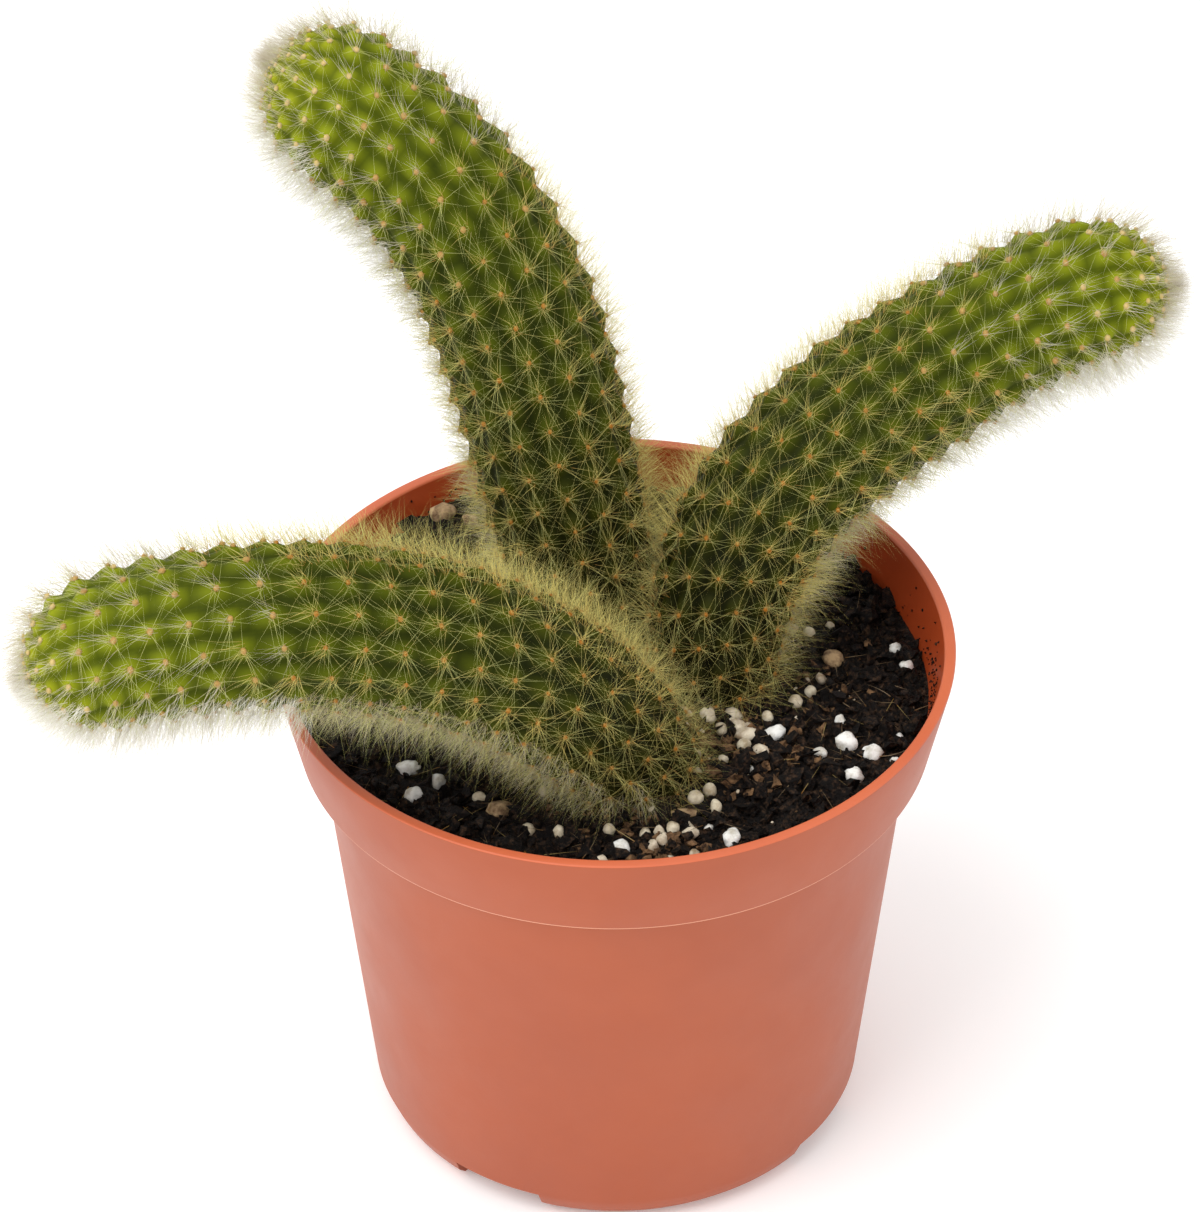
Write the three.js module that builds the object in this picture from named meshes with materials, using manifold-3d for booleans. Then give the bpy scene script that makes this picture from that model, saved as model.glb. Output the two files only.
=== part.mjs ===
// Potted monkey tail cactus: three ribbed stems standing in soil in a round nursery pot,
// with loose grains of perlite, grit and bark lying on the soil.
// Millimetres, +Z up, front towards -Y. The origin is the middle of the pot's foot, on the floor.

import * as THREE from 'three';
import { mergeVertices } from 'three/addons/utils/BufferGeometryUtils.js';
import Module from 'manifold-3d';

const wasm = await Module();
wasm.setup();

// Clearance between pieces that touch in the real object.
const gap = 0.35;

// Pot: thin moulded plastic with a stepped collar, tapering to a rounded foot.
const potHeight = 86.3;
const rimRadius = 52.5;
const wall = 1.8;
const collarBottom = 70.9;
const collarBottomRadius = 49.05;
const bodyTopRadius = 45.9;
const bodyBottomRadius = 38.7;
const cornerHeight = 5;
const footRadius = 34.2;
const floorThickness = 1.6;
const potSegments = 64;
const notchCount = 4;
const notchFirstAzimuth = -30;
const notchWidth = 15;
const notchHeight = 4.7;
const drainHoleRadius = 4;
const drainHoleFromAxis = 25;

// Soil: level about 8 mm below the rim, a little lower towards the right and heaped at the back left.
const soilLevel = 78;
const soilRings = [48, 44, 39, 33, 26, 19, 12, 5];

// Stems: centre line points from the buried end to the tip, and [distance along, radius] pairs.
const stemRibs = 15;
const ribDepth = 0.7;
const stemStep = 4.6;
const stems = [
  {
    name: 'stem_left',
    color: 0x5c7d2c,
    line: [
      [6.2, -16.6, 70], [1.5, -21, 83], [-6.4, -24.6, 95], [-16.9, -27.5, 104.9],
      [-29.4, -29.9, 111.9], [-43.2, -31.9, 115.8], [-57.7, -33.6, 116.6], [-72.4, -35, 114.5],
      [-86.2, -36.4, 109.6],
    ],
    radii: [[0, 7], [10, 10.4], [30, 12.1], [70, 12.7], [95, 12.4], [118, 11.6]],
  },
  {
    name: 'stem_back',
    color: 0x5a7d2a,
    line: [
      [-2.6, 8.5, 70], [-3.8, 11.2, 84.8], [-6.8, 14.7, 98.9], [-10, 19, 112.9],
      [-13.9, 24.2, 126.6], [-19.6, 29.7, 139.1], [-28.2, 35, 150], [-39.8, 39.6, 158.7],
      [-51.4, 43, 165.2],
    ],
    radii: [[0, 7], [12, 10.6], [35, 12.8], [60, 13.4], [90, 13], [118, 12.2]],
  },
  {
    name: 'stem_right',
    color: 0x64872e,
    line: [
      [14.6, -2, 70], [15.3, 1.8, 83.5], [18.2, 6.9, 95.9], [25, 12.5, 105.9], [35, 17.9, 113.8],
      [46.7, 22.7, 120.5], [58.8, 26.5, 126.4], [71, 29.3, 130.6], [85, 31, 131.1],
    ],
    radii: [[0, 7], [12, 10], [30, 11.9], [60, 12.8], [85, 12.1], [112, 11.1]],
  },
];

// Loose grains on the soil: [x, y, half length, half width, half height, turn in degrees].
const perlite = [
  [44, 9.5, 1.4, 1, 1, 20], [45.4, 5.4, 1.5, 1, 0.9, -30], [34.6, -8.2, 1.2, 0.7, 0.8, 70],
  [35.3, -14, 1.8, 1.5, 1.5, 60], [39, -15.6, 2, 1.4, 1.4, 30], [31.2, -16.6, 1.2, 0.9, 1, 0],
  [36.3, -21.6, 1.8, 1.6, 1.4, 80], [42.6, -17.6, 0.8, 0.6, 0.7, 0], [24.2, -13, 1.8, 1.6, 1.3, 10],
  [43.6, -11, 0.8, 0.6, 0.6, 40], [0.7, -39.7, 2, 1.4, 1.5, 75], [17.4, -37.4, 1.9, 1, 1.2, 70],
  [14, -35, 0.8, 0.7, 0.7, 0], [20.4, -21.6, 0.8, 0.7, 0.6, 0], [-31.4, -20.6, 2, 1.1, 1.2, 15],
  [-27, -22.6, 1.3, 1.1, 1.1, -40], [-30.6, -26.4, 1.6, 1.4, 1.4, 0],
];
const grit = [
  [16.4, -19.4, 1, 0.8, 0.9, 20], [12, -28.8, 1.4, 1.1, 1.2, 60], [14.2, -26.2, 1.4, 1.1, 1.2, -30],
  [6, -31, 1.2, 0.8, 0.8, 5], [16.2, -12.5, 1.3, 1.1, 1.2, 80], [19.6, -16.4, 1.6, 1, 1.2, 75],
  [23.4, -9, 1.1, 0.9, 1, 30], [27.8, -5.4, 1.3, 1.1, 1.4, 0], [30.2, -1.4, 1.2, 0.9, 1.2, 50],
  [-1, -35, 1.2, 0.9, 1, -20], [4.4, -35.8, 1.6, 0.9, 1, 80], [8.6, -35.4, 1.4, 0.9, 1, 60],
  [15, -30.6, 1.8, 1, 1.2, 85], [-8.6, -36, 1.4, 1, 1.1, 85], [-13.2, -34.6, 1.3, 1, 1.1, 30],
  [-20.6, -27.6, 1.4, 0.9, 1, 10], [30.4, 12.4, 1.2, 0.9, 1, 40], [33.6, 14.6, 0.9, 0.7, 0.8, 0],
  [9, 11, 1.2, 0.9, 1.1, 60], [10.6, 15.6, 1.4, 1, 1.1, 20], [7.6, 20.6, 1.3, 1, 1.1, 75],
  [12.2, 21.6, 1.1, 0.9, 1, -30],
];
const bark = [
  [33.8, 6.6, 2.2, 1.6, 1.2, 30], [-17.6, -30, 2.6, 1.3, 1, 20], [-27, 37, 2.2, 1.7, 1.9, -25],
  [10.4, -31.6, 2.6, 0.8, 0.5, 12], [-22.6, 35.4, 1.6, 1.1, 1.2, 60],
];

const materials = {
  pot: { color: 0xc8714f, roughness: 0.45, metalness: 0 },
  soil: { color: 0x1c1410, roughness: 0.95, metalness: 0 },
  perlite: { color: 0xe9e7e1, roughness: 0.9, metalness: 0 },
  grit: { color: 0xb5a585, roughness: 0.85, metalness: 0 },
  bark: { color: 0x8a6a48, roughness: 0.9, metalness: 0 },
};

const group = new THREE.Group();

function addMesh(name, geometry, material) {
  geometry.computeVertexNormals();
  const mesh = new THREE.Mesh(geometry, new THREE.MeshStandardMaterial(material));
  mesh.name = name;
  group.add(mesh);
}

// The geometry with shared vertices joined and flattened triangles left out.
function joined(geometry) {
  geometry.deleteAttribute('normal');
  geometry.deleteAttribute('uv');
  const merged = mergeVertices(geometry, 1e-4);
  const kept = [];
  const index = merged.index.array;
  for (let i = 0; i < index.length; i += 3) {
    const [a, b, c] = [index[i], index[i + 1], index[i + 2]];
    if (a !== b && b !== c && c !== a) {
      kept.push(a, b, c);
    }
  }
  merged.setIndex(kept);
  return merged;
}

function toSolid(geometry) {
  return new wasm.Manifold(new wasm.Mesh({
    numProp: 3,
    vertProperties: new Float32Array(geometry.attributes.position.array),
    triVerts: new Uint32Array(geometry.index.array),
  }));
}

function fromSolid(solid) {
  const mesh = solid.getMesh();
  const geometry = new THREE.BufferGeometry();
  geometry.setAttribute('position', new THREE.BufferAttribute(mesh.vertProperties, 3));
  geometry.setIndex(new THREE.BufferAttribute(mesh.triVerts, 1));
  return geometry;
}

// A solid of revolution about +Z from [radius, height] pairs that run up the outside.
function turned(profile, segments) {
  const points = profile.map(([r, z]) => new THREE.Vector2(r, z));
  const geometry = new THREE.LatheGeometry(points, segments);
  geometry.rotateX(Math.PI / 2);
  return joined(geometry);
}

// Straight-line value between [at, value] pairs.
function between(pairs, at) {
  const next = pairs.findIndex(([s]) => s >= at);
  if (next === 0) {
    return pairs[0][1];
  }
  if (next < 0) {
    return pairs[pairs.length - 1][1];
  }
  const [[s0, v0], [s1, v1]] = [pairs[next - 1], pairs[next]];
  return v0 + (v1 - v0) * (at - s0) / (s1 - s0);
}

// Pot.
const floorUnder = cornerHeight;
const floorTop = floorUnder + floorThickness;
const ledge = collarBottom + wall;
const innerWall = [
  [bodyBottomRadius - wall + 0.1, floorTop],
  [bodyTopRadius - wall, collarBottom],
  [collarBottomRadius - wall + 0.3, ledge],
  [rimRadius - wall, potHeight],
];
let pot = toSolid(turned([
  [0, floorUnder],
  [footRadius - wall, floorUnder],
  [footRadius - wall, 0],
  [footRadius, 0],
  [36, 0.6],
  [37.6, 2.3],
  [bodyBottomRadius, cornerHeight],
  [bodyTopRadius, collarBottom],
  [collarBottomRadius, collarBottom],
  [rimRadius, potHeight],
  ...innerWall.slice().reverse(),
  [0, floorTop],
], potSegments));
for (let i = 0; i < notchCount; i += 1) {
  const azimuth = (notchFirstAzimuth + 360 * i / notchCount) * Math.PI / 180;
  const notch = new THREE.BoxGeometry(notchWidth, 20, 2 * notchHeight);
  notch.translate(0, -footRadius, 0);
  notch.rotateZ(azimuth);
  const hole = new THREE.CylinderGeometry(drainHoleRadius, drainHoleRadius, 3 * floorThickness, 20);
  hole.rotateX(Math.PI / 2);
  hole.translate(0, -drainHoleFromAxis, floorUnder + floorThickness / 2);
  hole.rotateZ(azimuth);
  pot = pot.subtract(toSolid(joined(notch))).subtract(toSolid(joined(hole)));
}
addMesh('pot', fromSolid(pot), materials.pot);

// Height of the soil's surface: lumpy, higher round the stems, and heaped up at the back left.
function soilHeight(x, y) {
  const mound = 1.4 * Math.exp(-((x - 3) ** 2 + (y + 8) ** 2) / 700);
  const heap = 3.4 * Math.exp(-((x + 24) ** 2 + (y - 35) ** 2) / 240);
  const rise = 1.4 * THREE.MathUtils.smoothstep(y, 12, 44);
  const dip = 1.5 * THREE.MathUtils.smoothstep(x, 18, 48);
  const lumps = 0.5 * Math.sin(0.33 * x + 1) * Math.cos(0.29 * y) + 0.3 * Math.sin(0.8 * x + 0.5 * y);
  return soilLevel + mound + heap + rise - dip + lumps;
}

// A stem as a straight turned bar with ribs, bent along its centre line.
// extra widens it and lengthens its buried end, for the socket it stands in.
function stemGeometry(stem, extra) {
  const path = new THREE.CatmullRomCurve3(stem.line.map((p) => new THREE.Vector3(...p)));
  path.arcLengthDivisions = 400;
  const length = path.getLength();
  const tipRadius = between(stem.radii, length);
  const straight = length - tipRadius;
  const rings = Math.round(straight / stemStep);
  const profile = [new THREE.Vector2(0, -extra), new THREE.Vector2(1, -extra)];
  for (let i = 1; i <= rings; i += 1) {
    profile.push(new THREE.Vector2(1, straight * i / rings));
  }
  for (const angle of [22, 42, 60, 76]) {
    const a = angle * Math.PI / 180;
    profile.push(new THREE.Vector2(Math.cos(a), straight + (tipRadius + extra) * Math.sin(a)));
  }
  profile.push(new THREE.Vector2(0, length + extra));
  const geometry = joined(new THREE.LatheGeometry(profile, 2 * stemRibs));

  const [first, last] = [path.getPointAt(0), path.getPointAt(1)];
  const across = new THREE.Vector3(last.y - first.y, first.x - last.x, 0).normalize();
  const position = geometry.attributes.position;
  for (let i = 0; i < position.count; i += 1) {
    const along = position.getY(i);
    const share = Math.hypot(position.getX(i), position.getZ(i));
    const turn = Math.atan2(position.getX(i), position.getZ(i));
    const rib = Math.round(turn * stemRibs / Math.PI) % 2 === 0 ? 0 : ribDepth;
    const radius = share * (between(stem.radii, along) - rib + extra);
    const at = THREE.MathUtils.clamp(along / length, 0, 1);
    const tangent = path.getTangentAt(at);
    const side = across.clone().addScaledVector(tangent, -across.dot(tangent)).normalize();
    const up = new THREE.Vector3().crossVectors(tangent, side);
    const point = path.getPointAt(at).addScaledVector(tangent, along - at * length);
    point.addScaledVector(side, radius * Math.cos(turn)).addScaledVector(up, radius * Math.sin(turn));
    position.setXYZ(i, point.x, point.y, point.z);
  }
  return geometry;
}

// A rounded irregular grain lying half sunk in the soil; grow widens it, for the hollow it lies in.
function grainGeometry([x, y, length, width, height, turn], grow) {
  const geometry = joined(new THREE.IcosahedronGeometry(1, 0));
  const position = geometry.attributes.position;
  for (let i = 0; i < position.count; i += 1) {
    const p = new THREE.Vector3().fromBufferAttribute(position, i);
    const lump = 1 + 0.12 * Math.sin(3.1 * p.x + x) * Math.cos(2.7 * p.y + y) + 0.06 * Math.sin(5 * p.z);
    position.setXYZ(
      i,
      p.x * (length * lump + grow),
      p.y * (width * lump + grow),
      p.z * (height * lump + grow),
    );
  }
  geometry.rotateZ(turn * Math.PI / 180);
  geometry.translate(x, y, soilHeight(x, y) + 0.35 * height);
  return geometry;
}

// Soil: fills the pot inside its wall, with a socket for each stem and a hollow for each grain.
let soil = new THREE.LatheGeometry([
  [0, floorTop + gap],
  [innerWall[0][0] - gap, floorTop + gap],
  [innerWall[1][0] - gap, collarBottom + 0.2],
  [innerWall[2][0] - gap, ledge + 0.3],
  [between(innerWall.slice(2).map(([r, z]) => [z, r]), soilLevel - 1) - gap, soilLevel - 1],
  ...soilRings.map((r) => [r, soilLevel + 10]),
  [0, soilLevel + 10],
].map(([r, z]) => new THREE.Vector2(r, z)), potSegments);
soil.rotateX(Math.PI / 2);
soil = joined(soil);
for (let i = 0; i < soil.attributes.position.count; i += 1) {
  const p = new THREE.Vector3().fromBufferAttribute(soil.attributes.position, i);
  if (p.z > soilLevel + 5) {
    soil.attributes.position.setZ(i, soilHeight(p.x, p.y));
  }
}
let soilSolid = toSolid(soil);
for (const stem of stems) {
  addMesh(stem.name, stemGeometry(stem, 0), { color: stem.color, roughness: 0.6, metalness: 0 });
  soilSolid = soilSolid.subtract(toSolid(stemGeometry(stem, gap)));
}
for (const [name, list] of Object.entries({ perlite, grit, bark })) {
  list.forEach((grain, i) => {
    const label = `${name}_${String(i + 1).padStart(2, '0')}`;
    addMesh(label, grainGeometry(grain, 0), materials[name]);
    soilSolid = soilSolid.subtract(toSolid(grainGeometry(grain, gap)));
  });
}
addMesh('soil', fromSolid(soilSolid), materials.soil);

export default group;
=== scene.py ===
import math
import random

import bmesh
import bpy
import numpy as np
from mathutils import Matrix, Vector, geometry, noise


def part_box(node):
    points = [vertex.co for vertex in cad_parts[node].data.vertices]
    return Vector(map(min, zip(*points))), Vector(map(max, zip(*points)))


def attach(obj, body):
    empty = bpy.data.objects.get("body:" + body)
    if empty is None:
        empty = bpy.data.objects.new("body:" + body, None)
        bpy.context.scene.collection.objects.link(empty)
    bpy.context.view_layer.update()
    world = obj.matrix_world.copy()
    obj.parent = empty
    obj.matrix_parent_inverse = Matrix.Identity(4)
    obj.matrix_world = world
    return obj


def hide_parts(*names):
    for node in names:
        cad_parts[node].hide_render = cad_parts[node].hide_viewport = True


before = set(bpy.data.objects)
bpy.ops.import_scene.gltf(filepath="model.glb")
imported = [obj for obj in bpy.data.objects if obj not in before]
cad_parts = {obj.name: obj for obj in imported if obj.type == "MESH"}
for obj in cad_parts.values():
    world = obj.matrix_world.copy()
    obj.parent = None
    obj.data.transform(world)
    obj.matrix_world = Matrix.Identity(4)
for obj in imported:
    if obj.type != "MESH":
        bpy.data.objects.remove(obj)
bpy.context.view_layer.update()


# Camera: looks down on the plant from the front, far off and with a long lens, so that the pot's
# sides stay nearly parallel.
mm = 0.001
camera_height = math.radians(38.56)
camera_roll = math.radians(-0.34)
camera_distance = 1000 * mm
look_at = Vector((-2.19, 0, 93.72)) * mm

camera = bpy.data.objects.new("camera", bpy.data.cameras.new("camera"))
camera.data.sensor_fit = "VERTICAL"
camera.data.sensor_height = 36
camera.data.lens = 194.3
camera.data.clip_start = 0.05
camera.data.clip_end = 20
towards_camera = Vector((0, -math.cos(camera_height), math.sin(camera_height)))
camera.location = look_at + camera_distance * towards_camera
camera.rotation_euler = (
    Matrix.Rotation(math.pi / 2 - camera_height, 3, "X") @ Matrix.Rotation(camera_roll, 3, "Z")
).to_euler()
bpy.context.scene.collection.objects.link(camera)
bpy.context.scene.camera = camera
bpy.context.scene.view_settings.view_transform = "Standard"


# Studio: a lit white table top, white walls all round and one large soft lamp above, to the left.
def finished_mesh(bm, name, smooth_below=None):
    """Turns a bmesh into an object, shaded smooth across edges flatter than smooth_below degrees."""
    mesh = bpy.data.meshes.new(name)
    bm.to_mesh(mesh)
    bm.free()
    if smooth_below is not None:
        mesh.shade_smooth()
        mesh.set_sharp_from_angle(angle=math.radians(smooth_below))
    piece = bpy.data.objects.new(name, mesh)
    bpy.context.scene.collection.objects.link(piece)
    return piece


def new_finish(name, roughness):
    """A material with its Principled shader: returns the material, its node tree and the shader."""
    material = bpy.data.materials.new(name)
    material.use_nodes = True
    shader = material.node_tree.nodes["Principled BSDF"]
    shader.inputs["Roughness"].default_value = roughness
    return material, material.node_tree, shader


def add_node(tree, kind, **values):
    """A new node; values named like its inputs fill or link them, and the others are its settings."""
    node = tree.nodes.new("ShaderNode" + kind)
    for name, value in values.items():
        socket = next((s for s in node.inputs if s.name.replace(" ", "_") == name and s.enabled), None)
        if socket is None:
            setattr(node, name, value)
        elif isinstance(value, bpy.types.NodeSocket):
            tree.links.new(value, socket)
        else:
            socket.default_value = value
    return node


table_top = bmesh.new()
bmesh.ops.create_grid(table_top, x_segments=1, y_segments=1, size=3)
floor = finished_mesh(table_top, "floor")
white, white_tree, white_shader = new_finish("white_table", 0.9)
white_shader.inputs["Base Color"].default_value = (0.93, 0.93, 0.93, 1)
white_shader.inputs["Emission Color"].default_value = (1, 1, 1, 1)
white_shader.inputs["Emission Strength"].default_value = 0.16
floor.data.materials.append(white)

world = bpy.data.worlds.new("studio")
bpy.context.scene.world = world
world.use_nodes = True
world.node_tree.nodes["Background"].inputs["Color"].default_value = (1, 1, 1, 1)
world.node_tree.nodes["Background"].inputs["Strength"].default_value = 0.98

lamp = bpy.data.objects.new("soft_lamp", bpy.data.lights.new("soft_lamp", "AREA"))
lamp.data.size = 0.9
lamp.data.energy = 9
lamp.location = (-0.5, -0.35, 1.05)
lamp.rotation_euler = (look_at - lamp.location).to_track_quat("-Z", "Y").to_euler()
bpy.context.scene.collection.objects.link(lamp)


# Pot: a round nursery pot moulded in thin terracotta-coloured plastic. A flared collar steps out
# below the rim, the body tapers to a rounded foot, and four notches in the foot let water drain.
pot_height = 86.3 * mm
rim_radius = 52.5 * mm
pot_wall = 1.8 * mm
collar_bottom = 70.9 * mm
collar_bottom_radius = 49.05 * mm
body_top_radius = 45.9 * mm
body_bottom_radius = 38.7 * mm
corner_height = 5 * mm
foot_radius = 34.2 * mm
floor_thickness = 1.6 * mm
pot_steps = 192
notch_azimuths = [math.radians(a) for a in (-30, 60, 150, 240)]
notch_width = 15 * mm
notch_height = 4.7 * mm
drain_hole_radius = 4 * mm
drain_hole_from_axis = 25 * mm


def wire(bm, points):
    """A chain of edges through (radius, height) points in the XZ plane."""
    corners = [bm.verts.new((r, 0, z)) for r, z in points]
    for a, b in zip(corners, corners[1:]):
        bm.edges.new((a, b))
    return corners


def spin_closed(bm, steps):
    """Spins everything in bm once round the Z axis and closes the seam and the poles."""
    bmesh.ops.spin(
        bm, geom=bm.verts[:] + bm.edges[:], axis=(0, 0, 1), angle=math.tau, steps=steps, use_merge=True
    )
    bmesh.ops.remove_doubles(bm, verts=bm.verts, dist=1e-6)
    bmesh.ops.recalc_face_normals(bm, faces=bm.faces)


floor_top = corner_height + floor_thickness
ledge = collar_bottom + pot_wall
inner_wall = [
    (body_bottom_radius - pot_wall + 0.1 * mm, floor_top),
    (body_top_radius - pot_wall, collar_bottom),
    (collar_bottom_radius - pot_wall + 0.3 * mm, ledge),
    (rim_radius - pot_wall, pot_height),
]
pot_shape = bmesh.new()
pot_corners = wire(pot_shape, [
    (0, corner_height),
    (foot_radius - pot_wall, corner_height),
    (foot_radius - pot_wall, 0),
    (foot_radius, 0),
    (36 * mm, 0.6 * mm),
    (37.6 * mm, 2.3 * mm),
    (body_bottom_radius, corner_height),
    (body_top_radius, collar_bottom),
    (collar_bottom_radius, collar_bottom),
    (rim_radius, pot_height),
    *reversed(inner_wall),
    (0, floor_top),
])
roundings = {1: 0.5, 2: 0.3, 3: 0.4, 7: 0.5, 8: 0.5, 9: 0.35, 10: 0.35, 11: 0.8, 12: 0.8, 13: 2}
for place, size in roundings.items():
    bmesh.ops.bevel(
        pot_shape, geom=[pot_corners[place]], offset=size * mm, segments=4, profile=0.5,
        affect="VERTICES", material=-1,
    )
spin_closed(pot_shape, pot_steps)
pot = finished_mesh(pot_shape, "pot_moulding", 40)

cutter_shape = bmesh.new()
for azimuth in notch_azimuths:
    turn = Matrix.Rotation(azimuth, 4, "Z")
    bmesh.ops.create_cube(
        cutter_shape, size=1,
        matrix=turn @ Matrix.Translation((0, -foot_radius, 0))
        @ Matrix.Diagonal((notch_width, 20 * mm, 2 * notch_height, 1)),
    )
    bmesh.ops.create_cone(
        cutter_shape, cap_ends=True, segments=40, radius1=drain_hole_radius,
        radius2=drain_hole_radius, depth=3 * floor_thickness,
        matrix=turn @ Matrix.Translation((0, -drain_hole_from_axis, corner_height + floor_thickness / 2)),
    )
cutter = finished_mesh(cutter_shape, "pot_cutter")
cut = pot.modifiers.new("notches", "BOOLEAN")
cut.operation = "DIFFERENCE"
cut.solver = "EXACT"
cut.object = cutter
cut_mesh = bpy.data.meshes.new_from_object(pot.evaluated_get(bpy.context.evaluated_depsgraph_get()))
pot.modifiers.clear()
pot.data = cut_mesh
bpy.data.objects.remove(cutter)
cut_mesh.set_sharp_from_angle(angle=math.radians(40))


def effect(name, inputs, outputs):
    """An empty shader group: returns it with the sockets that feed its inside and take its results."""
    group = bpy.data.node_groups.new(name, "ShaderNodeTree")
    for label, value in inputs.items():
        kind = "NodeSocketColor" if isinstance(value, tuple) else "NodeSocketFloat"
        group.interface.new_socket(label, in_out="INPUT", socket_type=kind).default_value = value
    for label, kind in outputs.items():
        group.interface.new_socket(label, in_out="OUTPUT", socket_type="NodeSocket" + kind)
    return group, group.nodes.new("NodeGroupInput").outputs, group.nodes.new("NodeGroupOutput").inputs


# Mottle: clouds or flecks that run from a dark to a light tone, and from glossy to dull.
mottle, given, result = effect(
    "mottle",
    {"Dark": (0.1, 0.1, 0.1, 1), "Light": (0.8, 0.8, 0.8, 1), "Scale": 100.0, "Detail": 4.0,
     "Low": 0.3, "High": 0.7, "Glossy": 0.4, "Dull": 0.5},
    {"Color": "Color", "Roughness": "Float"},
)
place = add_node(mottle, "TexCoord").outputs["Object"]
cloud = add_node(
    mottle, "TexNoise", Vector=place, Scale=given["Scale"], Detail=given["Detail"], Roughness=0.62)
cloudy = add_node(
    mottle, "MapRange", Value=cloud.outputs["Fac"], From_Min=given["Low"], From_Max=given["High"])
clouded = add_node(
    mottle, "Mix", data_type="RGBA", Factor=cloudy.outputs["Result"], A=given["Dark"], B=given["Light"])
mottle.links.new(clouded.outputs[2], result["Color"])
haze = add_node(mottle, "TexNoise", Vector=place, Scale=60, Detail=5, Roughness=0.6)
dull = add_node(
    mottle, "MapRange", Value=haze.outputs["Fac"], From_Min=0.3, From_Max=0.7, To_Min=given["Glossy"],
    To_Max=given["Dull"])
mottle.links.new(dull.outputs["Result"], result["Roughness"])

# Grain: a fine unevenness of the surface.
grain, given, result = effect(
    "grain", {"Scale": 1500.0, "Strength": 0.1, "Distance": 0.0002}, {"Normal": "Vector"})
place = add_node(grain, "TexCoord").outputs["Object"]
specks = add_node(grain, "TexNoise", Vector=place, Scale=given["Scale"], Detail=4, Roughness=0.65)
bump = add_node(
    grain, "Bump", Height=specks.outputs["Fac"], Strength=given["Strength"], Distance=given["Distance"])
grain.links.new(bump.outputs["Normal"], result["Normal"])


def mottled_finish(name, tones, gloss, specular, grains):
    """A finish from mottle and grain. tones: dark, light, scale, detail, low, high;
    gloss: glossy, dull; grains: scale, strength, distance."""
    material, tree, shader = new_finish(name, gloss[0])
    shader.inputs["Specular IOR Level"].default_value = specular
    dark, light, scale, detail, low, high = tones
    surface = add_node(
        tree, "Group", node_tree=mottle, Dark=(*dark, 1), Light=(*light, 1), Scale=scale, Detail=detail,
        Low=low, High=high, Glossy=gloss[0], Dull=gloss[1])
    tree.links.new(surface.outputs["Color"], shader.inputs["Base Color"])
    tree.links.new(surface.outputs["Roughness"], shader.inputs["Roughness"])
    scale, strength, distance = grains
    rough = add_node(tree, "Group", node_tree=grain, Scale=scale, Strength=strength, Distance=distance)
    tree.links.new(rough.outputs["Normal"], shader.inputs["Normal"])
    return material


plastic_grain = (1500, 0.06, 0.0002)
pot.data.materials.clear()
for name, deep, pale, gloss in (
    ("pot_outside", (0.355, 0.068, 0.019), (0.41, 0.086, 0.026), (0.4, 0.5)),
    # The inside: painted shade, a deeper and more saturated copy of the same plastic standing for the
    # shade and bounced light inside the pot.
    ("pot_inside", (0.38, 0.052, 0.011), (0.47, 0.072, 0.017), (0.3, 0.4)),
    # The rim's top: painted light, a brighter copy of the same plastic for the light falling on it from
    # above.
    ("pot_rim", (0.54, 0.115, 0.045), (0.62, 0.145, 0.06), (0.36, 0.46)),
    # The collar's lip: a pale band of painted highlight along its rounded lower edge.
    ("pot_lip", (0.62, 0.25, 0.14), (0.7, 0.32, 0.2), (0.36, 0.46)),
):
    pot.data.materials.append(mottled_finish(
        name, (deep, pale, 28, 4, 0.3, 0.75), gloss, 0.4, plastic_grain))
outside_slot, inside_shade_slot, rim_light_slot, lip_highlight_slot = range(4)
for face in pot.data.polygons:
    radius = math.hypot(face.center.x, face.center.y)
    above_lip = face.center.z - collar_bottom
    faces_in = face.normal.x * face.center.x + face.normal.y * face.center.y < 0
    # The rim's top face takes the painted light.
    if face.center.z > pot_height - 0.4 * mm and radius < rim_radius - 0.1 * mm:
        face.material_index = rim_light_slot
    # A thin band just above the collar's lower edge takes the painted highlight.
    elif 0 < above_lip < 0.45 * mm and radius > collar_bottom_radius - 0.2 * mm:
        face.material_index = lip_highlight_slot
    # Faces turned inwards above the floor take the painted shade.
    elif faces_in and face.center.z > floor_top:
        face.material_index = inside_shade_slot
    else:
        face.material_index = outside_slot
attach(pot, "root")
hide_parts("pot")


# Soil: black-brown peat that fills the pot to just below the rim, heaped at the back left and
# crumbly on top. Only the pot's wall holds it. Its body is one lump; loose crumbs lie on it, and
# some stick to the wall.
soil_level = 78 * mm
surface_rings = 80
surface_steps = 220
crumb_count = 6400
wall_specks = 420
soil_rng = random.Random(11)


def soil_height(x, y):
    """The soil's surface: lumpy, higher round the stems, and heaped up at the back left."""
    x, y = x / mm, y / mm
    mound = 1.4 * math.exp(-((x - 3) ** 2 + (y + 8) ** 2) / 700)
    heap = 3.4 * math.exp(-((x + 24) ** 2 + (y - 35) ** 2) / 240)
    back, right = (min(max(share, 0), 1) for share in ((y - 12) / 32, (x - 18) / 30))
    rise = 1.4 * back * back * (3 - 2 * back)
    dip = 1.5 * right * right * (3 - 2 * right)
    lumps = 0.5 * math.sin(0.33 * x + 1) * math.cos(0.29 * y) + 0.3 * math.sin(0.8 * x + 0.5 * y)
    crumbs = noise.fractal(Vector((x, y, 0)) * 0.5, 0.7, 2.2, 5)
    return soil_level + (mound + heap + rise - dip + lumps + 0.9 * crumbs) * mm


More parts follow.
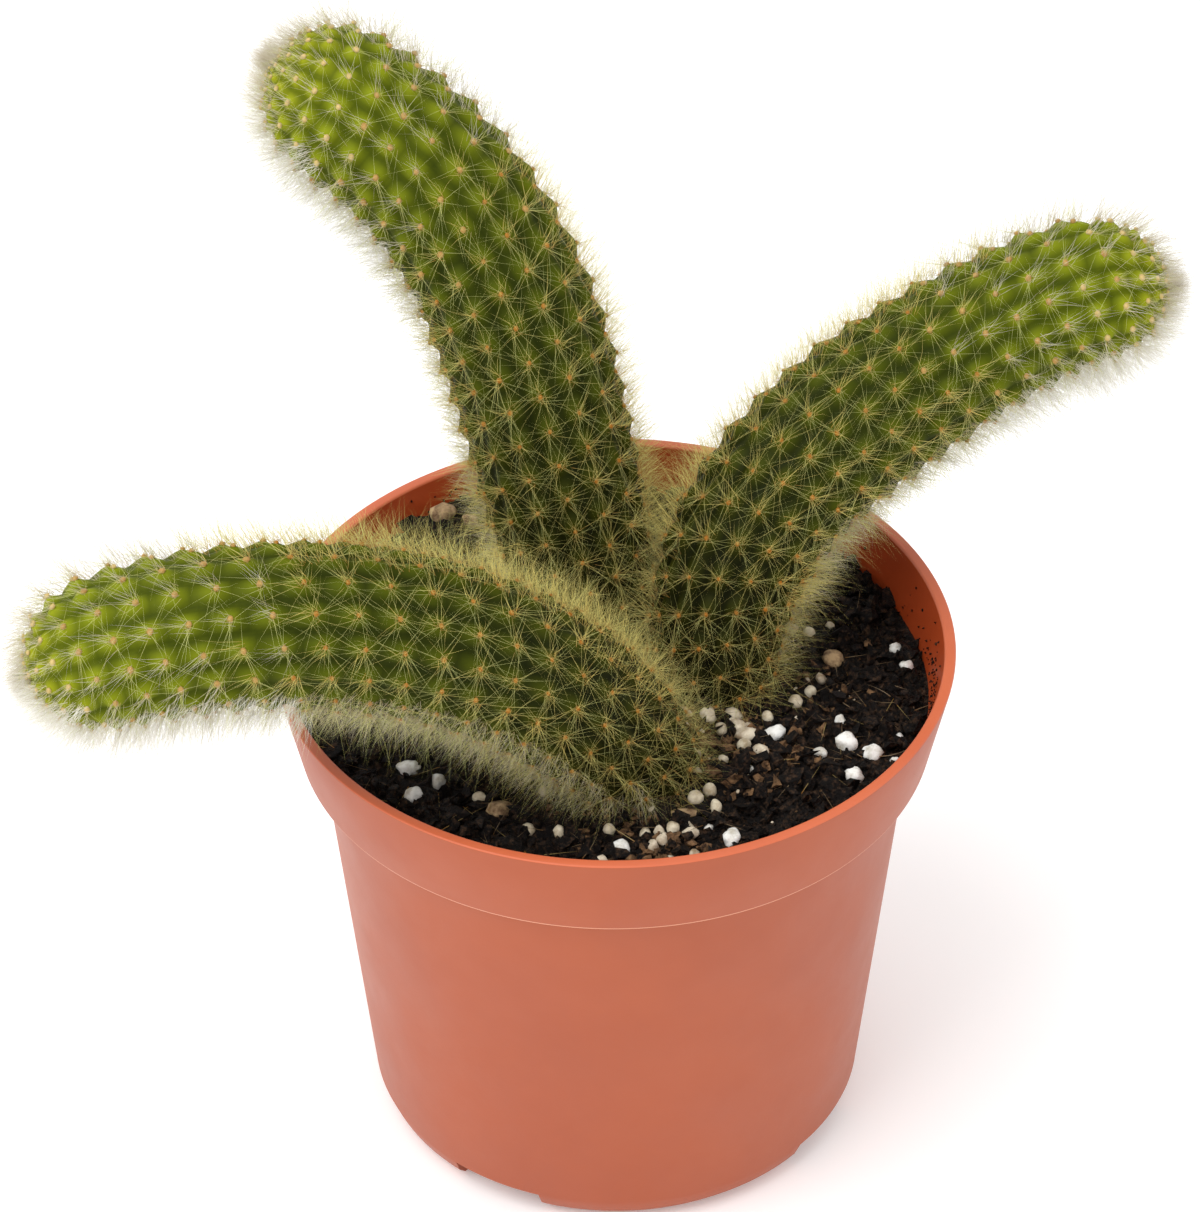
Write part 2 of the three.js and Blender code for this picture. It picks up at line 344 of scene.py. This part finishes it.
soil_shape = bmesh.new()
soil_edge = inner_wall[3][0] - 2.6 * mm
wire(soil_shape, [
    (0, floor_top + 0.3 * mm),
    (inner_wall[0][0] - 0.4 * mm, floor_top + 0.3 * mm),
    (inner_wall[1][0] - 0.4 * mm, collar_bottom),
    (inner_wall[2][0] - 0.4 * mm, ledge + 0.2 * mm),
    (soil_edge + 0.5 * mm, soil_level - 1.2 * mm),
    *[(soil_edge * (1 - i / surface_rings), soil_level + 10 * mm) for i in range(surface_rings + 1)],
])
spin_closed(soil_shape, surface_steps)
for vert in soil_shape.verts:
    if vert.co.z > soil_level + 5 * mm:
        vert.co.z = soil_height(vert.co.x, vert.co.y)
soil = finished_mesh(soil_shape, "soil_body", 80)


def lump_shape(seed, roughness, rounds=1):
    """A small irregular clod about 1 across."""
    bm = bmesh.new()
    bmesh.ops.create_icosphere(bm, subdivisions=rounds, radius=0.5)
    for vert in bm.verts:
        vert.co *= 1 + roughness * noise.noise(vert.co * 2.4 + Vector((seed * 7.1, 0, 0)))
    mesh = bpy.data.meshes.new("lump")
    bm.to_mesh(mesh)
    bm.free()
    mesh.shade_smooth()
    return mesh


def scatter(bm, mesh, matrix):
    """Adds a copy of mesh to bm, placed by matrix."""
    start = len(bm.verts)
    bm.from_mesh(mesh)
    bm.verts.ensure_lookup_table()
    for vert in bm.verts[start:]:
        vert.co = matrix @ vert.co


def tumbled(rng):
    """A random turn."""
    return Matrix.Rotation(rng.uniform(0, math.tau), 4, rng.choice("XYZ")) @ Matrix.Rotation(
        rng.uniform(0, math.tau), 4, rng.choice("XYZ"))


clods = [lump_shape(i, 1.1) for i in range(8)]
grain_kinds = ("perlite", "grit", "bark")
grain_nodes = [node for node in sorted(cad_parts) if node.split("_")[0] in grain_kinds]
grain_boxes = [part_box(node) for node in grain_nodes]
crumb_shape = bmesh.new()
for _ in range(crumb_count):
    radius = soil_edge * math.sqrt(soil_rng.uniform(0.02, 0.998))
    azimuth = soil_rng.uniform(0, math.tau)
    x, y = radius * math.cos(azimuth), radius * math.sin(azimuth)
    if any(low.x < x < high.x and low.y < y < high.y for low, high in grain_boxes):
        continue
    size = mm * soil_rng.choice((0.4, 0.5, 0.6, 0.8, 1, 1.3, 1.8, 2.4)) * soil_rng.uniform(0.8, 1.25)
    scatter(
        crumb_shape, soil_rng.choice(clods),
        Matrix.Translation((x, y, soil_height(x, y) + soil_rng.uniform(-0.2, 0.5) * size))
        @ tumbled(soil_rng)
        @ Matrix.Diagonal((size * soil_rng.uniform(0.8, 1.6), size, size * soil_rng.uniform(0.6, 1), 1)),
    )
wall_widening = (inner_wall[3][0] - inner_wall[2][0]) / (pot_height - ledge)
for _ in range(wall_specks):
    azimuth = soil_rng.choice((math.radians(-10), math.radians(125), soil_rng.uniform(0, math.tau)))
    azimuth += soil_rng.gauss(0, 0.25)
    height = min(soil_level + mm * abs(soil_rng.gauss(0, 2.6)), pot_height - 2 * mm)
    size = mm * soil_rng.uniform(0.18, 0.5)
    radius = inner_wall[2][0] + wall_widening * (height - ledge) - 0.1 * size
    scatter(
        crumb_shape, soil_rng.choice(clods),
        Matrix.Translation((radius * math.cos(azimuth), radius * math.sin(azimuth), height))
        @ tumbled(soil_rng) @ Matrix.Diagonal((size, size, size, 1)),
    )
crumbs = finished_mesh(crumb_shape, "soil_crumbs", 35)


# Husk and gravel: chips of brown husk and fine beige gravel. They lie loose on the peat, round the
# foot of each stem and in the gaps between the stems.
stem_feet = [(3, -19.5), (-3.3, 10), (15, 0.3)]
stem_gaps = [(17, -18), (20, -15), (7, -36)]
stones = [lump_shape(i + 20, 0.35, 2) for i in range(6)]
husk_shape, gravel_shape = bmesh.new(), bmesh.new()
for count, shape, lumps, sizes, feet, near, far in (
    (900, husk_shape, clods, (0.4, 0.6, 0.9, 1.4), stem_feet, 10.5, 8),
    (1100, husk_shape, clods, (0.5, 0.8, 1.1, 1.6), stem_gaps, 0, 5),
    (70, gravel_shape, stones, (0.9, 1.2, 1.6, 2), stem_feet, 10.5, 5),
    (54, gravel_shape, stones, (1.2, 1.6, 2, 2.4), stem_gaps, 0, 5.5),
    (160, gravel_shape, stones, (0.25, 0.35), stem_feet, 10.5, 20),
):
    for _ in range(count):
        foot = soil_rng.choice(feet)
        azimuth = soil_rng.uniform(0, math.tau)
        radius = near + abs(soil_rng.gauss(0, far))
        x, y = (foot[0] + radius * math.cos(azimuth)) * mm, (foot[1] + radius * math.sin(azimuth)) * mm
        size = soil_rng.choice(sizes) * soil_rng.uniform(0.8, 1.2) * mm
        turned = tumbled(soil_rng)
        if math.hypot(x, y) > soil_edge - mm or any(
            low.x - mm < x < high.x + mm and low.y - mm < y < high.y + mm for low, high in grain_boxes
        ):
            continue
        scatter(
            shape, soil_rng.choice(lumps),
            Matrix.Translation((x, y, soil_height(x, y) + 0.3 * size)) @ turned
            @ Matrix.Diagonal((size * 1.3, size, size * 0.8, 1)))
husk = finished_mesh(husk_shape, "soil_husk", 35)
gravel = finished_mesh(gravel_shape, "soil_gravel", 75)
husk.data.materials.append(mottled_finish(
    "husk", ((0.025, 0.011, 0.005), (0.27, 0.15, 0.07), 800, 5, 0.35, 0.7), (0.6, 0.9), 0.2,
    (1300, 0.9, 0.0007)))
gravel.data.materials.append(mottled_finish(
    "gravel", ((0.28, 0.2, 0.12), (0.74, 0.65, 0.5), 380, 5, 0.34, 0.6), (0.6, 0.8), 0.35,
    (2400, 0.4, 0.0003)))
peat = mottled_finish(
    "peat", ((0.004, 0.0025, 0.002), (0.1, 0.055, 0.03), 1100, 6, 0.5, 0.8), (0.35, 0.8), 0.16,
    (1300, 1.0, 0.0009))
soil.data.materials.append(peat)
crumbs.data.materials.append(peat)
for piece in (soil, crumbs, husk, gravel):
    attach(piece, "root")
    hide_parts("soil")


# Loose grains: white perlite, rounder beige grit round the stems and a few chips of bark, all
# lying half sunk in the peat. Each is its own piece and stands where its solid does.
grain_finishes = {
    "perlite": mottled_finish(
        "perlite_white", ((0.5, 0.46, 0.38), (0.88, 0.87, 0.83), 500, 5, 0.34, 0.56), (0.8, 0.9), 0.4,
        (2400, 0.5, 0.0003)),
    "grit": mottled_finish(
        "grit_beige", ((0.32, 0.24, 0.14), (0.72, 0.64, 0.48), 420, 5, 0.34, 0.6), (0.6, 0.8), 0.4,
        (2400, 0.4, 0.0003)),
    "bark": mottled_finish(
        "bark_brown", ((0.13, 0.07, 0.035), (0.5, 0.34, 0.18), 600, 5, 0.36, 0.6), (0.7, 0.9), 0.35,
        (2200, 0.8, 0.0003)),
}
grain_lumpiness = {"perlite": 0.75, "grit": 0.35, "bark": 0.6}
for seed, (node, (low, high)) in enumerate(zip(grain_nodes, grain_boxes)):
    kind = node.split("_")[0]
    grain_shape = bmesh.new()
    bmesh.ops.create_icosphere(grain_shape, subdivisions=3, radius=0.5)
    for vert in grain_shape.verts:
        lump = noise.fractal(vert.co * 1.7 + Vector((seed * 5.3, 0, 0)), 0.9, 2.1, 3)
        vert.co *= 1.02 + grain_lumpiness[kind] * 0.5 * lump
    bmesh.ops.scale(grain_shape, vec=high - low, verts=grain_shape.verts)
    bmesh.ops.translate(grain_shape, vec=(low + high) / 2, verts=grain_shape.verts)
    piece = finished_mesh(grain_shape, node + "_grain", 75)
    piece.data.materials.append(grain_finishes[kind])
    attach(piece, "root")
    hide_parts(node)


# Stems: three thick green stems, round at the tip, with sixteen low ribs cut into tubercles.
# Each stands in the soil and leans over its own way; the flesh is yellow-green and bright at the
# growing tip and dark olive at the foot.
rib_count = 16
tubercle_pitch = 5.5 * mm
tubercle_shift = 0.25


class Stem:
    """The centre line, thickness and tubercle rows of one stem."""

    def __init__(self, line, thickness):
        points = [Vector(p) * mm for p in line]
        dense = [points[0]]
        for i, (a, b) in enumerate(zip(points, points[1:])):
            before = points[max(i - 1, 0)]
            after = points[min(i + 2, len(points) - 1)]
            dense += geometry.interpolate_bezier(a, a + (b - before) / 6, b - (after - a) / 6, b, 30)[1:]
        self.points = np.array(dense)
        steps = np.linalg.norm(np.diff(self.points, axis=0), axis=1)
        self.at = np.concatenate([[0], np.cumsum(steps)])
        self.length = float(self.at[-1])
        self.thickness = np.array(thickness) * mm
        self.tip_radius = self.radius(self.length)
        self.body = self.length - self.tip_radius
        self.reach = self.body + self.tip_radius * math.pi / 2
        lean = points[-1] - points[0]
        self.across = Vector((lean.y, -lean.x, 0)).normalized()
        self.marks = np.linspace(0, self.reach, 500)
        closer = np.interp(self.marks, [0, 25 * mm, self.body * 0.8, self.body, self.reach],
                           [0.86, 0.95, 1, 0.86, 0.4])
        self.rows = np.concatenate([[0], np.cumsum(np.diff(self.marks) / (tubercle_pitch * closer[1:]))])

    def radius(self, along):
        return float(np.interp(along, self.thickness[:, 0], self.thickness[:, 1]))

    def skin(self, along, turn, sunk=0):
        """A point of the skin, its outward direction and the direction towards the tip.
        along is measured on the skin from the buried end over the dome to the tip."""
        beyond = max(along - self.body, 0) / self.tip_radius
        axial = min(along, self.body) + self.tip_radius * math.sin(beyond)
        wide = (self.radius(min(along, self.body)) if beyond == 0 else self.tip_radius) * math.cos(beyond)
        here = Vector([float(np.interp(axial, self.at, self.points[:, k])) for k in range(3)])
        ahead = Vector([float(np.interp(axial + mm, self.at, self.points[:, k])) for k in range(3)])
        behind = Vector([float(np.interp(axial - mm, self.at, self.points[:, k])) for k in range(3)])
        forward = (ahead - behind).normalized()
        side = (self.across - forward * self.across.dot(forward)).normalized()
        under = forward.cross(side)
        spoke = side * math.cos(turn) + under * math.sin(turn)
        outward = spoke * math.cos(beyond) + forward * math.sin(beyond)
        tipward = forward * math.cos(beyond) - spoke * math.sin(beyond)
        return here + spoke * wide - outward * sunk, outward, tipward

    def slimness(self, along):
        """1 on the body, shrinking to 0 at the tip."""
        return math.cos(max(along - self.body, 0) / self.tip_radius)

    def relief(self, along, turn):
        """Two heights of the skin, from 0 in the furrows to 1: the rib's crest, and the tubercle,
        which is highest where the areole sits."""
        rib = turn / math.tau * rib_count
        nearest = round(rib)
        crest = math.cos(math.pi * (rib - nearest)) ** 1.2
        row = float(np.interp(along, self.marks, self.rows)) - tubercle_shift * nearest
        off = row - round(row)
        hump = math.exp(-((off / (0.4 if off > 0 else 0.24)) ** 2))
        return crest, crest * hump

    def areoles(self):
        """(along, turn) of each areole above the soil."""
        for rib in range(rib_count):
            shift = (tubercle_shift * rib) % 1
            for row in range(int(self.rows[-1]) + 1):
                along = float(np.interp(row + shift, self.rows, self.marks))
                if row + shift < self.rows[-1] and along > 5 * mm and self.slimness(along) > 0.1:
                    yield along, math.tau * rib / rib_count


stems = {
    "stem_left": Stem(
        [(6.2, -16.6, 70), (1.5, -21, 83), (-6.4, -24.6, 95), (-16.9, -27.5, 104.9),
         (-29.4, -29.9, 111.9), (-43.2, -31.9, 115.8), (-57.7, -33.6, 116.6), (-72.4, -35, 114.5),
         (-86.2, -36.4, 109.6)],
        [(0, 7), (10, 10.4), (30, 12.1), (70, 12.7), (95, 12.4), (118, 11.6)],
    ),
    "stem_back": Stem(
        [(-2.6, 8.5, 70), (-3.8, 11.2, 84.8), (-6.8, 14.7, 98.9), (-10, 19, 112.9),
         (-13.9, 24.2, 126.6), (-19.6, 29.7, 139.1), (-28.2, 35, 150), (-39.8, 39.6, 158.7),
         (-51.4, 43, 165.2)],
        [(0, 7), (12, 10.6), (35, 12.8), (60, 13.4), (90, 13), (118, 12.2)],
    ),
    "stem_right": Stem(
        [(14.6, -2, 70), (15.3, 1.8, 83.5), (18.2, 6.9, 95.9), (25, 12.5, 105.9), (35, 17.9, 113.8),
         (46.7, 22.7, 120.5), (58.8, 26.5, 126.4), (71, 29.3, 130.6), (85, 31, 131.1)],
        [(0, 7), (12, 10), (30, 11.9), (60, 12.8), (85, 12.1), (112, 11.1)],
    ),
}
stem_turns = 112
stem_rings = 140
furrow_depth = 1.4 * mm
saddle_depth = 1.0 * mm


def stem_flesh():
    """Cactus skin: its colour runs with age from the tip down, and from the crests down into the furrows
    it darkens with painted shade.
    """
    material, tree, shader = new_finish("stem_flesh", 0.55)
    shader.inputs["Specular IOR Level"].default_value = 0.06
    age = add_node(tree, "Attribute", attribute_name="age")
    height = add_node(tree, "Attribute", attribute_name="height")
    place = add_node(tree, "TexCoord").outputs["Object"]
    raised = add_node(tree, "ValToRGB", Fac=age.outputs["Fac"])
    furrow_shade = add_node(tree, "ValToRGB", Fac=age.outputs["Fac"])
    # Each row: age, the skin's colour on the tubercles, and a much darker colour for the furrows that is
    # painted shade.
    ripening_and_furrow_shade = (
        (0.0, (0.4, 0.41, 0.015), (0.1, 0.125, 0.001)),
        (0.14, (0.23, 0.27, 0.008), (0.045, 0.062, 0.001)),
        (0.4, (0.08, 0.1, 0.003), (0.014, 0.02, 0.0005)),
        (0.75, (0.03, 0.033, 0.002), (0.004, 0.005, 0.0003)),
        (1.0, (0.015, 0.013, 0.003), (0.003, 0.002, 0.0005)),
    )
    for ramp, pick in ((raised, 1), (furrow_shade, 2)):
        for entry in ripening_and_furrow_shade[2:]:
            ramp.color_ramp.elements.new(entry[0])
        for element, entry in zip(ramp.color_ramp.elements, ripening_and_furrow_shade):
            element.position = entry[0]
            element.color = (*entry[pick], 1)
    blotch = add_node(tree, "TexNoise", Vector=place, Scale=260, Detail=4)
    rise = add_node(tree, "Math", operation="MULTIPLY_ADD")
    tree.links.new(blotch.outputs["Fac"], rise.inputs[0])
    rise.inputs[1].default_value = 0.3
    tree.links.new(height.outputs["Fac"], rise.inputs[2])
    # Low places between the tubercles take the painted shade.
    share = add_node(tree, "MapRange", Value=rise.outputs["Value"], From_Min=0.12, From_Max=0.95)
    skin = add_node(
        tree, "Mix", data_type="RGBA", Factor=share.outputs["Result"], A=furrow_shade.outputs["Color"],
        B=raised.outputs["Color"])
    tree.links.new(skin.outputs[2], shader.inputs["Base Color"])
    pores = add_node(tree, "Group", node_tree=grain, Scale=2400, Strength=0.25, Distance=0.0002)
    tree.links.new(pores.outputs["Normal"], shader.inputs["Normal"])
    return material


flesh = stem_flesh()
for name, stem in stems.items():
    flesh_shape = bmesh.new()
    bmesh.ops.create_uvsphere(flesh_shape, u_segments=stem_turns, v_segments=stem_rings, radius=1)
    ages, heights = [], []
    for vert in flesh_shape.verts:
        along = stem.reach * (1 - math.acos(max(-1, min(1, vert.co.z))) / math.pi)
        turn = math.atan2(vert.co.y, vert.co.x)
        crest, height = stem.relief(along, turn)
        slim = stem.slimness(along)
        young = max(0, 1 - 2.2 * (1 - along / stem.reach))
        saddle = saddle_depth * (1 + 0.5 * young)
        sunk = (furrow_depth * (1 - crest) + saddle * (crest - height)) * (0.25 + 0.75 * slim)
        ages.append(1 - along / stem.reach)
        heights.append(0.15 * crest + 0.85 * height)
        if along <= 0:
            vert.co = stem.points[0]
        else:
            vert.co = stem.skin(along, turn, sunk)[0]
    body = finished_mesh(flesh_shape, name + "_flesh", 180)
    for label, values in (("age", ages), ("height", heights)):
        body.data.attributes.new(label, "FLOAT", "POINT").data.foreach_set("value", values)
    body.data.materials.append(flesh)
    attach(body, "root")
    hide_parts(name)


# Spines: each areole is a small woolly pad that carries a star of fine needles, few and pale near
# the tip, many and golden lower down. Long soft white hair hangs from the underside of each stem.
spine_rng = random.Random(5)


def needle(tuft, length, thick, bend, rings, lean, turn, tone, root=(0, 0)):
    """One pointed needle in tuft, rooted at root and leaning away from +Z; its map runs up the V
    axis from root to point, and tone sets U."""
    made = bmesh.ops.create_cone(
        tuft, cap_ends=False, segments=3, radius1=thick / 2, radius2=0, depth=length,
        matrix=Matrix.Translation((0, 0, length / 2)),
    )["verts"]
    for i in range(1, rings):
        faces = list({f for v in made for f in v.link_faces})
        edges = list({e for v in made for e in v.link_edges})
        cut = bmesh.ops.bisect_plane(
            tuft, geom=made + edges + faces, plane_co=(0, 0, length * i / rings), plane_no=(0, 0, 1))
        made = list({v for v in made} | {v for v in cut["geom_cut"] if isinstance(v, bmesh.types.BMVert)})
    layer = tuft.loops.layers.uv["OFBake"]
    for face in {f for v in made for f in v.link_faces}:
        for n, loop in enumerate(face.loops):
            loop[layer].uv = (tone + 0.01 * (n % 2), 0.02 + 0.96 * loop.vert.co.z / length)
    for vert in made:
        vert.co.x += bend * length * (vert.co.z / length) ** 2
    bmesh.ops.transform(
        tuft, verts=made,
        matrix=Matrix.Translation((*root, 0)) @ Matrix.Rotation(turn, 4, "Z")
        @ Matrix.Rotation(lean, 4, "Y"))


def tuft_mesh(pad, pad_tone, needles):
    """An areole: a woolly pad, pad across, and its needles."""
    tuft = bmesh.new()
    layer = tuft.loops.layers.uv.new("OFBake")
    if pad:
        wool = bmesh.ops.create_icosphere(tuft, subdivisions=1, radius=0.5)["verts"]
        bmesh.ops.transform(tuft, verts=wool, matrix=Matrix.Diagonal((pad, pad * 0.85, pad * 0.7, 1)))
        for face in tuft.faces:
            for n, loop in enumerate(face.loops):
                loop[layer].uv = (pad_tone + 0.01 * (n % 2), 0.01 + 0.01 * (n // 2))
    for values in needles:
        needle(tuft, *values)
    mesh = bpy.data.meshes.new("tuft")
    tuft.to_mesh(mesh)
    tuft.free()
    return mesh


def star(count, shortest, longest, thick, tone, upright, hanging):
    """Needles for one areole: most lie out along the skin, a share of them stand up, and another
    share hangs down, which is the tuft's +X side."""
    for i in range(count):
        stands = spine_rng.random() < upright
        lean = math.radians(spine_rng.uniform(5, 50) if stands else spine_rng.uniform(55, 86))
        turn = math.tau * (i + spine_rng.uniform(-0.8, 0.8)) / count
        if spine_rng.random() < hanging:
            turn = spine_rng.gauss(0, 0.5)
        yield (
            spine_rng.uniform(shortest, longest) * mm, thick * spine_rng.uniform(0.8, 1.15) * mm,
            spine_rng.uniform(-0.3, 0.35), 2, lean, turn, tone + spine_rng.uniform(-0.09, 0.09),
            (spine_rng.gauss(0, 0.45) * mm, spine_rng.gauss(0, 0.45) * mm),
        )


def wisp(count, shortest, longest, thick, tone, spread):
    """Long soft hairs for one areole, each curved its own way."""
    for _ in range(count):
        yield (
            spine_rng.uniform(shortest, longest) * mm, thick * spine_rng.uniform(0.7, 1.2) * mm,
            spine_rng.uniform(-0.35, 0.35), 2, math.radians(spine_rng.uniform(0, spread)),
            spine_rng.uniform(0, math.tau), tone + spine_rng.uniform(-0.06, 0.06),
            (spine_rng.gauss(0, 0.6) * mm, spine_rng.gauss(0, 0.6) * mm),
        )


variants = range(6)
stars = {
    "tip": [tuft_mesh(1.2 * mm, 0.28, star(10, 4.5, 8, 0.05, 0.28, 0.3, 0.5)) for _ in variants],
    "young": [tuft_mesh(1.2 * mm, 0.38, star(15, 5, 9, 0.05, 0.34, 0.3, 0.4)) for _ in variants],
    "grown": [tuft_mesh(0.95 * mm, 0.55, star(22, 5, 10, 0.04, 0.4, 0.3, 0.25)) for _ in variants],
    "old": [tuft_mesh(0.85 * mm, 0.66, star(28, 4.5, 9.5, 0.035, 0.45, 0.3, 0.1)) for _ in variants],
}
wisps = {
    "white": [tuft_mesh(0, 0, wisp(22, 4.5, 9, 0.065, 0.06, 40)) for _ in variants],
    "beige": [tuft_mesh(0, 0, wisp(16, 3.5, 6, 0.06, 0.2, 45)) for _ in variants],
    "golden": [tuft_mesh(0, 0, wisp(12, 4, 8.5, 0.06, 0.52, 36)) for _ in variants],
    "dusty": [tuft_mesh(0, 0, wisp(7, 3.5, 6.5, 0.06, 0.74, 36)) for _ in variants],
    # The fine hair's grey cream is painted shade on pale hair.
    "fine": [tuft_mesh(0, 0, wisp(11, 5, 9, 0.058, 0.14, 32)) for _ in variants],
}


def spine_finish():
    """Needles and wool: white through cream and gold to brown by tone, deeper at the root."""
    material, tree, shader = new_finish("spines", 0.5)
    shader.inputs["Specular IOR Level"].default_value = 0.25
    where = add_node(tree, "SeparateXYZ", Vector=add_node(tree, "UVMap", uv_map="OFBake").outputs["UV"])
    outer = add_node(tree, "ValToRGB", Fac=where.outputs["X"])
    inner = add_node(tree, "ValToRGB", Fac=where.outputs["X"])
    tones = (
        (0.05, (0.84, 0.82, 0.76), (0.66, 0.6, 0.46)),
        (0.19, (0.5, 0.42, 0.28), (0.38, 0.28, 0.15)),
        (0.28, (0.58, 0.6, 0.22), (0.6, 0.44, 0.17)),
        (0.38, (0.55, 0.56, 0.2), (0.46, 0.27, 0.08)),
        (0.55, (0.72, 0.58, 0.17), (0.4, 0.17, 0.02)),
        (0.7, (0.43, 0.32, 0.1), (0.38, 0.13, 0.008)),
        (0.95, (0.22, 0.15, 0.08), (0.18, 0.08, 0.015)),
    )
    for ramp, pick in ((outer, 1), (inner, 2)):
        for entry in tones[2:]:
            ramp.color_ramp.elements.new(entry[0])
        for element, entry in zip(ramp.color_ramp.elements, tones):
            element.position = entry[0]
            element.color = (*entry[pick], 1)
    along = add_node(tree, "MapRange", Value=where.outputs["Y"], From_Min=0.02, From_Max=0.2)
    tone = add_node(
        tree, "Mix", data_type="RGBA", Factor=along.outputs["Result"], A=inner.outputs["Color"],
        B=outer.outputs["Color"])
    tree.links.new(tone.outputs[2], shader.inputs["Base Color"])
    return material


spines_finish = spine_finish()


def rooted(stem, along, turn, size, tilt, hanging=False):
    """Where a tuft stands: on its areole or on the saddle past it, tilted towards the tip, with its
    +X side turned down or at random."""
    point, outward, tipward = stem.skin(along, turn, saddle_depth * (1 - stem.relief(along, turn)[1]))
    outward = (outward + tipward * tilt).normalized()
    ahead = Vector((0, 0, -1)) if hanging else tipward
    sideways = outward.cross(ahead).normalized()
    seat = Matrix((sideways.cross(outward), sideways, outward)).transposed().to_4x4()
    spin = 0 if hanging else spine_rng.uniform(0, math.tau)
    turned = Matrix.Rotation(spin, 4, "Z") @ Matrix.Diagonal((size, size, size, 1))
    return Matrix.Translation(point) @ seat @ turned


# The hair is thinner on the front and back of a stem than along its upper and lower edges.
front = Vector((0, -0.78, 0.62))
for name, stem in stems.items():
    spine_shape, hair_shape = bmesh.new(), bmesh.new()
    for shape in (spine_shape, hair_shape):
        shape.loops.layers.uv.new("OFBake")
    for along, turn in stem.areoles():
        outward = stem.skin(along, turn)[1]
        age = 1 - along / stem.reach + spine_rng.uniform(-0.05, 0.05)
        size = (0.5 + 0.5 * stem.slimness(along)) * spine_rng.uniform(0.9, 1.1)
        kind = "tip" if age < 0.16 else "young" if age < 0.36 else "grown" if age < 0.62 else "old"
        scatter(spine_shape, spine_rng.choice(stars[kind]), rooted(stem, along, turn, size, 0.15, True))
        # On the upper sides of the young part, the fine hair is greyed with painted shade.
        kind, hairs, tilt = (
            ("white" if age < 0.42 else "beige", 3, 0.5) if outward.z < -0.12
            else ("dusty", 2, 0.3) if age > 0.8 else ("golden", 3, 0.6) if age > 0.33 else ("fine", 3, 0.6)
        )
        if kind in ("golden", "dusty", "fine") and abs(outward.dot(front)) > 0.6:
            hairs = 1
        for step in range(hairs):
            scatter(
                hair_shape, spine_rng.choice(wisps[kind]),
                rooted(stem, min(along + step / hairs * tubercle_pitch, stem.reach), turn, size, tilt))
    for shape, label in ((spine_shape, "_spines"), (hair_shape, "_hair")):
        tufts = finished_mesh(shape, name + label, 60)
        tufts.data.materials.append(spines_finish)
        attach(tufts, "root")
        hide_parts(name)


# Litter: dead brown root fibres and shed hairs, a few millimetres long, that lie loose on the soil
# round the stems.
strand_count = 450
litter_rng = random.Random(3)
litter_shape = bmesh.new()
litter_shape.loops.layers.uv.new("OFBake")
strands = []
for tone in (0.99, 0.99, 0.97, 0.97, 0.95, 0.8):
    length, bend = litter_rng.uniform(3, 8) * mm, litter_rng.uniform(-0.4, 0.4)
    strands.append(tuft_mesh(0, 0, [(length, 0.13 * mm, bend, 4, 0, 0, tone)]))
for _ in range(strand_count):
    radius = soil_edge * math.sqrt(litter_rng.uniform(0.05, 0.93))
    azimuth = litter_rng.uniform(0, math.tau)
    x, y = radius * math.cos(azimuth), radius * math.sin(azimuth)
    scatter(
        litter_shape, litter_rng.choice(strands),
        Matrix.Translation((x, y, soil_height(x, y) + 0.4 * mm))
        @ Matrix.Rotation(litter_rng.uniform(0, math.tau), 4, "Z")
        @ Matrix.Rotation(math.radians(litter_rng.uniform(68, 92)), 4, "Y")
        @ Matrix.Rotation(litter_rng.uniform(0, math.tau), 4, "Z"),
    )
litter = finished_mesh(litter_shape, "soil_litter", 60)
litter.data.materials.append(spines_finish)
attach(litter, "root")
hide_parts("soil")
